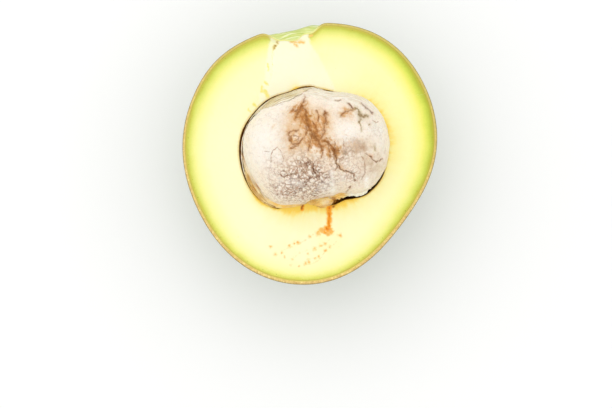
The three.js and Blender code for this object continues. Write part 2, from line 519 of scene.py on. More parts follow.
def makeCamera():
    data = bpy.data.cameras.new("camera")
    data.lens = view["lens"]
    data.clip_start = 0.01
    data.clip_end = 20
    camera = bpy.data.objects.new("camera", data)
    scene.collection.objects.link(camera)
    away = Vector(directionAt(view["tiltAround"], 90 - view["tilt"]).tolist())
    stemUp = (Vector((0, 1, 0)) - away * away.y).normalized()
    upward = Quaternion(away, math.radians(-view["roll"])) @ stemUp
    turned = Matrix((upward.cross(away), upward, away)).transposed()
    focal = view["lens"] / data.sensor_width * view["width"]
    aim = Vector((*view["middle"], -focal)).normalized()
    offCentre = Vector((0, 0, -1)).rotation_difference(aim).to_matrix()
    camera.matrix_world = (turned @ offCentre.inverted()).to_4x4()
    camera.location = (Vector((0, 0, fruit["faceHeight"])) + away * view["distance"]) * mm
    scene.camera = camera
    print("camera ready")


makeCamera()


# Skin: the outside, the cut edge that shows round the face, and a hidden inner side

skin = {
    "columns": 560,
    # first and last level of its rings in degrees above the face, how many there are, and what crowds them
    "innerLevels": (-89, -0.8, 24, 0.8),
    "bandRows": 5,
    "outerLevels": (-0.13, -89.03, 112, 1.15),
    "thickness": 1.05,
    # near the cut its edge is wider round the base and narrower at the stem
    "extraAtBase": 0.6,
    "base": (-90, 75),
    "atStem": 0.5,
    "stemSide": (9.5, 4),
    "nearCut": 14,
    "innerFlat": 0.3,  # what is left of the skin where it rests
    "pebbles": [(0.1, 2.4, 0)],
    "pebbleRadius": 50,
    "pebblesFrom": (0.2, 3),
    "cutWaves": [(0.05, 0.9, 0)],
    "cutBelow": 0.02,
    "bevel": 0.12,
    "stemCrowding": (1.6, 16),
    "scar": 91,
    "stemBand": (90.2, 11.6, 12),
    "oliveBand": (66, 76, 4),
    "green": (104, 134, 56),
    "darkGreen": (66, 98, 38),
    "paleGreen": (230, 235, 152),
    "brown": (120, 92, 50),
    "corky": (214, 196, 128),
    "cutTan": (244, 214, 134),
    "cutDark": (204, 166, 94),
    "cutLight": (255, 234, 152),
    "cutInner": (226, 206, 100),
    "cutOlive": (202, 188, 92),
    "cutAtStem": (238, 236, 150),
}


def skinThickness(turned, above=0.0):
    extra = skin["extraAtBase"] * near(turned, *skin["base"])
    atStem = near(turned, fruit["stem"], *skin["stemSide"])
    extra = extra + (skin["atStem"] - skin["thickness"] - extra) * atStem
    return skin["thickness"] + extra * gauss(above, skin["nearCut"])


def makeSkinMaterial():
    constants = {"Specular IOR Level": 0.32, "Subsurface Weight": 0.05, "Subsurface Scale": 0.002}
    material = newMaterial("avocado_skin", constants)
    place, mask = readers(material)
    slow, quick = mottling(place, 0.06, 5, 2.6), mottling(place, 0.55, 5, 2.4)
    lenticels = spots(place, 0.42, 0.2, 0.75)
    # the basin pales towards the corky scar of the stem
    basin = mask("fromScar")
    apart = addNode(place.tree, "ShaderNodeSeparateXYZ", {"Vector": place})
    level = apart["Z"] - fruit["faceHeight"]
    rings = streaks(apart["X"], basin, 1)
    pale = painted(
        blend(rings, skin["paleGreen"], (198, 211, 106)),
        (rise(rings, 0.3, 0), 0.6, (246, 249, 214)),
        (rise(level + quick, -3, -0.4), 0.75, (243, 240, 156)),
    )
    outside = painted(
        blend(slow, skin["darkGreen"], skin["green"]),
        (quick, 0.35, (138, 160, 74)),
        (lenticels, 0.7, (176, 184, 104)),
        (spots(place, 0.9, 0.16, 0.3), 0.5, (58, 66, 30)),
        (rise(mottling(place, 0.11, 8, 5), 0.8, 1.1), 0.5, skin["brown"]),
        (rise(basin, 24, 10), 0.45, (170, 190, 96)),
        (rise(basin, 19, 10) * rise(level, -15, -6), 1, pale),
        (mark(place, 0.9, basin, 2.6, 1.4, 1.6), 0.7, skin["corky"]),
    )
    # the cut edge: a thin brown line outside, then woody tan with lighter grains
    across = mask("across")
    cut = painted(
        blend(mottling(place, 0.8, 5, 3.2), skin["cutDark"], skin["cutTan"]),
        (spots(place, 0.95, 0.45, 0.6), 0.75, skin["cutLight"]),
        (rise(across, 0.55, 1), 1, skin["cutInner"]),
        (mask("olive"), 0.75, skin["cutOlive"]),
        (mark(place, 0.9, across, 0.34, 0.26, 0.4), 0.6, skin["brown"]),
        (mask("atStem"), 1, skin["cutAtStem"]),
    )
    height = grain(place, 0.45, 2.4, 0.35) + lenticels * 0.25
    return dress(material, blend(mask("band"), outside, cut), quick * 0.2 + 0.36, height, 0.5, 0.6)


def fruitColumns():
    return roundColumns(skin["columns"], fruit["stem"], *skin["stemCrowding"])


def fruitRing(columns, above, inset, lowest=0.0):
    direction = directionAt(columns, above)
    ring = direction * (fruitRadius(direction) - inset)[:, None]
    ring[:, 2] = np.maximum(ring[:, 2], lowest - fruit["faceHeight"])
    return ring


def makeSkin():
    columns = fruitColumns()
    rings = []
    for above in spaced(*skin["innerLevels"]):
        rings.append(fruitRing(columns, above, skinThickness(columns, above), skin["innerFlat"]))
    inner = len(rings)
    shares = np.linspace(1, 0, skin["bandRows"])
    for share in shares:
        ring = fruitRing(columns, 0, share * skinThickness(columns) + (0 if share else skin["bevel"]))
        ring[:, 2] = relief(ring, skin["cutWaves"]) - skin["cutBelow"]
        rings.append(ring)
    cut = len(rings)
    for above in spaced(*skin["outerLevels"]):
        ball = directionAt(columns, above) * skin["pebbleRadius"]
        pebbles = relief(ball, skin["pebbles"]) * smoothStep(-above, *skin["pebblesFrom"])
        rings.append(fruitRing(columns, above, -pebbles))
    points, faces = closedRings(rings)
    outer = len(rings) - cut
    across = [1] * inner + [*shares] + [0] * outer
    scar = fruitRing(np.array([skin["scar"]]), 0, 0)
    masks = {
        "across": np.append(np.repeat(across, len(columns)), [1, 0]),
        "band": np.append(np.repeat([1] * cut + [0] * outer, len(columns)), [1, 0]),
        "fromScar": np.linalg.norm(points - scar, axis=1),
        "atStem": near(roundOf(points), *skin["stemBand"]),
        "olive": near(roundOf(points), *skin["oliveBand"]),
    }
    finishMesh("skin", points, faces, masks, makeSkinMaterial(), "skin", "fruit_half")


# Flesh: the cut face, the cavity's wall and the hidden side against the skin

flesh = {
    "wallLevels": (-88, -2, 26, 0.75),
    "faceRows": 62,
    "sideLevels": (-0.8, -88.8, 22, 1.1),
    "closingLevels": (-16, -3),
    "clearance": 0.02,
    "rimRound": 0.3,
    "waves": [(0.07, 7, 0), (0.02, 0.9, 0)],
    "wavesFade": (0, 0.05, 0.96, 1),
    "rustWaves": [(0.16, 0.8, 4)],
    "crumbs": [(0.25, 0.7, 9)],
    "rustDepth": 0.12,
    "wander": (1.3, 0.4),
    # painted shade: the cavity's wall is near-black deep in the gap at the lower right; middle, spread and
    # sides
    "wallDark": (-57, 16, 6),
    # how strong the green is all round, and the places where it is stronger, weaker and, by the stem, absent
    "green": 0.3,
    "greenless": (10.2, 6),
    "greenAround": [(18, 0.75, 50), (128, 0.35, 30), (185, 0.1, 24), (-110, -0.25, 40)],
    # the colours from the skin inwards where the green is strong and where it is weak, by distance
    "strongColours": [
        (0, (200, 180, 74)), (1.1, (198, 184, 68)), (1.6, (188, 184, 62)), (2.1, (183, 190, 62)),
        (3, (198, 210, 76)), (4, (217, 225, 90)), (5, (234, 234, 106)), (6.5, (250, 243, 136)),
        (11, (254, 250, 182)), (20, (255, 252, 196)),
    ],
    "weakColours": [
        (0, (232, 208, 108)), (1.6, (214, 202, 92)), (2, (216, 210, 94)), (2.5, (227, 226, 112)),
        (3, (237, 234, 130)), (4, (249, 243, 158)), (5, (253, 247, 178)), (6.6, (254, 250, 192)),
        (10, (254, 252, 206)), (20, (255, 253, 212)),
    ],
    # the pale core above the seed: where it fades in, and its edges by distance up and place across the face
    "coreFrom": (18, 24),
    "coreLeft": [
        (22, -15.8), (27.5, -15.2), (30.2, -13.7), (32.4, -12.2), (37.7, -11.3), (45.2, -9.2), (49, -7.7),
    ],
    "coreRight": [(22, 14.2), (26.9, 12.9), (31.2, 11.5), (39.9, 8.6), (44.8, 6), (49, 5.6)],
    # middle, spread, reach from the cavity's rim and strength of each warm tint round the cavity, partly
    # amber flesh and partly painted warm shade and reflected light from the seed
    "rimAmberAndShade": [
        (-2, 30, 4.5, 1), (30, 18, 3.4, 0.45), (-98, 26, 5, 1.15), (-114, 15, 3.4, 1.6),
        (-143, 12, 1.3, 1.9), (70, 7, 0.5, 1.2), (-69, 15, 4, 1.15), (101, 5, 1.2, 1.6),
        (-45, 22, 3.2, 0.5),
    ],
    "warmPatches": [(25.5, 24.5, 9, 0.25), (10, 40, 7, 0.2), (-16, -37, 6, 0.16), (2, -38, 7, 0.22)],
    # a stroke is its half width and the points of its line: first the rust-coloured trickle below the seed
    "rust": [
        (0.9, (5.3, -20.9), (4.1, -22.3), (3.8, -24.4)), (0.75, (3.8, -24.4), (3.5, -26.6), (2.8, -30)),
        (0.9, (1.8, -30.6), (2.8, -31.4), (3.4, -32.2)), (0.75, (-0.4, -30.8), (0.4, -31.3)),
        (0.55, (1, -32.2), (2.4, -33)), (0.3, (0.5, -31), (2.6, -31.2)),
        (0.6, (-6.6, -19.9), (-6.9, -20.6), (-7, -21.6)),
    ],
    "brown": [
        (0.8, (6.4, -20.2), (6.9, -20.9), (5.9, -21.9)), (0.4, (-6.6, -19.8), (-6.9, -20.7), (-7, -21.3)),
    ],
    # faint broken lines of the same rust, below the drops
    "traces": [
        (0.4, (-17, -37), (-10, -35.4), (-5.6, -33.2), (-0.6, -30.8)),
        (0.4, (-16, -41.5), (-8.4, -38.2), (-3.4, -38.4), (2.4, -35.4)),
        (0.4, (-7.8, -44.2), (-3.8, -43.2), (0.4, -40), (5.2, -36.2)),
    ],
    "specks": [
        (0.75, (3.2, -32.5)), (0.6, (2, -33.1)), (0.8, (-0.2, -30.9)), (0.9, (-1.9, -32.1)),
        (0.6, (-5.3, -32.9)), (0.65, (-10.5, -34.5)), (0.5, (-12, -34.6)), (0.5, (-14.1, -35.6)),
        (0.5, (-21.7, -34.8)), (0.6, (-20.3, -38.1)), (0.65, (-4.2, -38.1)), (0.45, (-1.6, -37.1)),
        (0.55, (0.3, -36.6)), (0.5, (2.2, -38.1)), (0.5, (0.1, -39.4)), (0.5, (-2.9, -41.5)),
        (0.45, (-4.4, -42)), (0.7, (-7.3, -42.7)), (0.6, (-8.4, -43.3)), (0.45, (-9.1, -43.9)),
        (0.7, (6.8, -34.2)), (0.45, (-17.5, -37.7)), (0.45, (-16.6, -39.6)), (0.4, (-13.5, -41.3)),
        (0.4, (-14.7, -43.3)), (0.4, (-11.4, -44.3)), (0.4, (-7.1, -39.7)),
    ],
    "stemCrumbs": [
        (0.42, (-6.8, 48.1), (-7.8, 47.5), (-7.4, 46.9)), (0.45, (-8.3, 46.3), (-8.9, 45.9), (-9.5, 45)),
    ],
    "stemRust": [
        (0.5, (-2.4, 47), (-0.4, 46.5), (1, 46.4)), (0.75, (1.2, 46.3), (3, 45.9)),
        (0.6, (-0.6, 45.8), (0.4, 44.6)), (0.45, (6, 48.1), (6.8, 48.1)),
    ],
    "coreSpecks": [
        (0.9, (-14.2, 26), (-15.4, 28.4)), (0.8, (-16.7, 28.4), (-16.2, 30.2)),
        (0.6, (-14.8, 32), (-13.9, 30.6)), (0.5, (-12.9, 36.4), (-12.5, 39)),
        (0.2, (-9.7, 44.7), (-10.5, 41.4), (-10.8, 37.8)), (0.7, (-19.8, 22.8), (-20.6, 23.6)),
        (0.6, (-22.4, 20.9), (-22.8, 21.8)),
    ],
    # mask, width, fade, wobble, strength and colour of what is drawn on the face
    "marks": [
        ("coreSpecks", 1.2, 0.9, 1.4, 0.85, (251, 236, 122)),
        ("stemRust", 1.7, 1.5, 1.2, 0.85, (252, 214, 140)),
        ("stemRust", 0.7, 0.8, 1.4, 0.85, (247, 184, 70)),
        ("stemCrumbs", 2, 1.6, 1.4, 0.85, (226, 200, 110)),
        ("stemCrumbs", 0.8, 0.7, 1.4, 0.85, (146, 108, 34)),
        ("traces", 0.9, 1.7, 3.6, 0.85, (249, 210, 128)),
        ("rust", 2, 1.4, 1, 0.85, (253, 208, 98)),
        ("rust", 1.45, 0.7, 1, 0.85, (247, 156, 14)),
        ("rust", 0.5, 0.6, 1.6, 0.85, (218, 104, 0)),
        ("specks", 2.1, 1.9, 2.6, 0.85, (251, 218, 138)),
        ("specks", 1.1, 1.1, 2.2, 0.85, (242, 172, 62)),
        ("brown", 1.5, 1.1, 1, 0.85, (214, 140, 48)),
        ("brown", 0.9, 0.6, 0.8, 0.85, (136, 78, 18)),
        ("dots", 1, 0.7, 0.5, 0.85, (146, 154, 48)),
    ],
    # the rim has a dark brown line, partly stain where the seed coat clings to it and partly painted shade of
    # the gap beside the coat: middle, spread and depth of it
    "rimStainAndShade": [
        (72, 8, 0.3), (91, 10, 0.6), (120, 34, 0.35), (172, 30, 0.35), (200, 14, 0.3), (230, 3, 0.3),
        (240, 16, 0.1), (-57, 22, 0.45), (-38, 8, 0.4),
    ],
    # here the flesh still touches the seed: where that begins, is full, falls off and ends, round the cavity
    "touching": [(-32, -22, 54, 62), (-128, -122, -104, -99)],
    "seam": 0.09,
    # small green dots beside the skin, but none at the stem
    "dots": 92,
    "dotShifts": (-0.35, 0.35),
    "dotInset": 0.75,
    "dotInsetShifts": (-0.2, 0.35),
    "dotSizes": (0.18, 0.42),
    "dotless": (11, 6),
}


def fleshClosing(turned):
    # how far the flesh reaches in from the cavity's rim to touch the seed
    turned = (np.asarray(turned) + 180) % 360 - 180
    return sum(plateau(turned, *place) for place in flesh["touching"]) * (seedGap(turned) - flesh["seam"])


def dotsShare(points, fromSkin):
    # 0 in the middle of the nearest dot and 1 at its edge
    count, draw = flesh["dots"], np.random.default_rng(7)
    angles = 360 * (np.arange(count) + draw.uniform(*flesh["dotShifts"], count)) / count
    inset = skinThickness(angles) + flesh["dotInset"] + draw.uniform(*flesh["dotInsetShifts"], count)
    middles = fruitRing(angles, 0, inset)[:, :2]
    sizes = draw.uniform(*flesh["dotSizes"], count)
    sizes *= 1.01 - near(angles, fruit["stem"], *flesh["dotless"])
    shares = np.full(len(points), farAway)
    beside = fromSkin < 5
    apart = np.linalg.norm(points[beside][:, None, :2] - middles, axis=2)
    shares[beside] = (apart / sizes).min(axis=1)
    return shares


def fleshPaint(points):
    away = np.linalg.norm(points, axis=1)
    turned = roundOf(points)
    fromSkin = fruitRadius(points / np.maximum(away, 1e-6)[:, None]) - away
    fromCavity = points - cavityMiddle
    cavityTurned = roundOf(fromCavity)
    fromRim = levelOf(fromCavity) - rimRadius(cavityTurned)
    fromEdge = fromRim + fleshClosing(cavityTurned)
    green = flesh["green"] + bulgeHeight(flesh["greenAround"], turned)
    inCore = smoothStep(points[:, 1], *flesh["coreFrom"])
    warm = patchField(points, flesh["warmPatches"])
    # the rim's tints are partly amber flesh and partly painted warm shade and reflected light from the seed
    for middle, spread, reach, strength in flesh["rimAmberAndShade"]:
        warm += strength * near(cavityTurned, middle, spread) * np.exp(-np.maximum(fromRim, 0) / reach)
    # the rim's dark line: partly stain, partly painted shade of the gap by the coat
    stain = np.zeros(len(points))
    for middle, spread, depth in flesh["rimStainAndShade"]:
        stain = np.maximum(stain, depth * near(cavityTurned, middle, spread, 4))
    masks = {
        "fromSkin": fromSkin,
        "fromRim": np.clip(fromRim, -3, 15),
        "along": (cavityTurned % 360) * alongTurn,
        "green": green * (1 - near(turned, fruit["stem"], *flesh["greenless"])),
        "warm": np.clip(warm, 0, 1.8),
        "stain": np.where((fromEdge < 2) & (stain > 0.05), stain - np.abs(fromEdge), -1),
        "wallDepth": -points[:, 2],
        # where the wall gets its painted shade
        "wallDark": near(cavityTurned, *flesh["wallDark"]),
        "dots": dotsShare(points, fromSkin),
    }
    for name, side in (("coreLeft", 1), ("coreRight", -1)):
        across = side * (points[:, 0] - np.interp(points[:, 1], *zip(*flesh[name])))
        masks[name] = np.where(inCore > 0.01, across, -farAway) - farAway * (1 - inCore)
    drawn = wander(points, *flesh["wander"])
    onlyOnFace = np.where(points[:, 2] > -1, 0, farAway)
    for name in ("rust", "brown", "traces", "specks", "stemCrumbs", "stemRust", "coreSpecks"):
        masks[name] = strokesShare(drawn, flesh[name]) + onlyOnFace
    return masks


def makeFleshMaterial():
    constants = {"Specular IOR Level": 0.15, "Coat Weight": 0.02, "Coat Roughness": 0.25}
    scatter = {"Subsurface Weight": 0.18, "Subsurface Radius": (1, 0.8, 0.35), "Subsurface Scale": 0.0025}
    material = newMaterial("avocado_flesh", {**constants, **scatter})
    place, mask = readers(material)
    slow, quick = mottling(place, 0.12, 4, 1.6), mottling(place, 1.1, 5, 1.6)
    depth = mask("fromSkin") + slow * 1.1 + quick * 0.6 - 0.85
    reach = depth / flesh["weakColours"][-1][0]
    colour = blend(
        mask("green"), colourRamp(reach, flesh["weakColours"]), colourRamp(reach, flesh["strongColours"])
    )
    # the core is whiter, with a crisp crumbly edge and a paler strip to its left and a soft edge to its right
    shifting = (quick - 0.5) * 1.2
    fromLeft, fromRight = mask("coreLeft") + shifting, mask("coreRight") + shifting
    core = rise(fromLeft, -0.4, 0.8) * rise(fromRight, -0.5, 1)
    strip = rise(fromLeft, -3.2, -1.8) * rise(fromLeft, 1.4, -0.2)
    fibre = rise(abs(fromLeft), 0.8, 0.1) * rise(slow, 0.35, 0.75)
    # warm tints round the seed: partly amber flesh, partly painted warm shade and light reflected from the
    # seed
    rays = streaks(mask("fromRim"), mask("along"), 0.55)
    warm = mask("warm") * (slow * 0.8 + rays * 0.28 + 0.45)
    colour = painted(
        colour,
        (core, 0.9, (254, 252, 221)),
        (strip, 0.6, (253, 254, 226)),
        (fibre, 0.4, (252, 240, 140)),
        (warm, 0.8, (254, 234, 128)),
        (rise(warm, 0.6, 1.35), 0.85, (255, 212, 84)),
    )
    colour = drawMarks(colour, place, mask, flesh["marks"])
    # the rim's dark brown line, partly stain and partly painted shade of the gap, and the wall of the cavity
    # behind it
    stain = mask("stain")
    stained = blend(rise(quick, 0.25, 0.75), (150, 104, 12), (96, 56, 0))
    # the wall's brown, near-black as painted shade in the gap at the lower right
    wall = painted(blend(quick, (166, 104, 22), (214, 154, 48)), (mask("wallDark"), 0.95, (46, 12, 2)))
    colour = painted(
        colour,
        (spots(place, 0.35, 0.1, 0.22), 0.25, (240, 222, 120)),
        (rise(stain + quick * 0.4, -0.7, 0.3), 0.5, (226, 180, 62)),
        (mark(place, 0.7, stain * -1, 0, 0.18, 0.25), 0.95, stained),
        (rise(mask("wallDepth"), 0.35, 1.4), 1, wall),
    )
    return dress(material, colour, quick * 0.16 + 0.38, grain(place, 0.8, 3.5, 0.4), 0.25, 0.35)


def makeFlesh():
    columns = fruitColumns()
    closing = fleshClosing(columns)
    rim = rimRadius(columns) - closing
    level = directionAt(columns, 0)
    rings = []
    for above in spaced(*flesh["wallLevels"]):
        direction = directionAt(columns, above)
        away = cavityRadius(direction) - closing * smoothStep(above, *flesh["closingLevels"])
        rings.append(cavityMiddle + direction * away[:, None])
    # the rim is rounded over a little before the face begins
    rounding = flesh["rimRound"]
    for turn in np.radians([0, 30, 60]):
        ring = cavityMiddle + level * (rim + rounding * (1 - math.cos(turn)))[:, None]
        ring[:, 2] = -rounding * (1 - math.sin(turn))
        rings.append(ring)
    start = cavityMiddle + level * (rim + rounding)[:, None]
    outline = fruitRing(columns, 0, skinThickness(columns) + flesh["clearance"])
    for share in np.linspace(0, 1, flesh["faceRows"]):
        ring = start + (outline - start) * share
        ring[:, 2] = relief(ring, flesh["waves"]) * plateau(share, *flesh["wavesFade"])
        rust = strokesShare(ring, flesh["rust"] + flesh["brown"])
        crumbs = strokesShare(ring, flesh["coreSpecks"] + flesh["stemRust"])
        ring[:, 2] += relief(ring, flesh["rustWaves"]) * gauss(rust, 0.9)
        ring[:, 2] -= flesh["rustDepth"] * gauss(rust, 0.5)
        ring[:, 2] += relief(ring, flesh["crumbs"]) * gauss(crumbs, 1.2)
        rings.append(ring)
    lowest = skin["innerFlat"] + flesh["clearance"]
    for above in spaced(*flesh["sideLevels"]):
        rings.append(fruitRing(columns, above, skinThickness(columns, above) + flesh["clearance"], lowest))
    points, faces = closedRings(rings)
    finishMesh("flesh", points, faces, fleshPaint(points), makeFleshMaterial(), "flesh", "fruit_half")


makeSkin()
makeFlesh()


# Seed: a knobbly, cracked stone, stained brown from its top

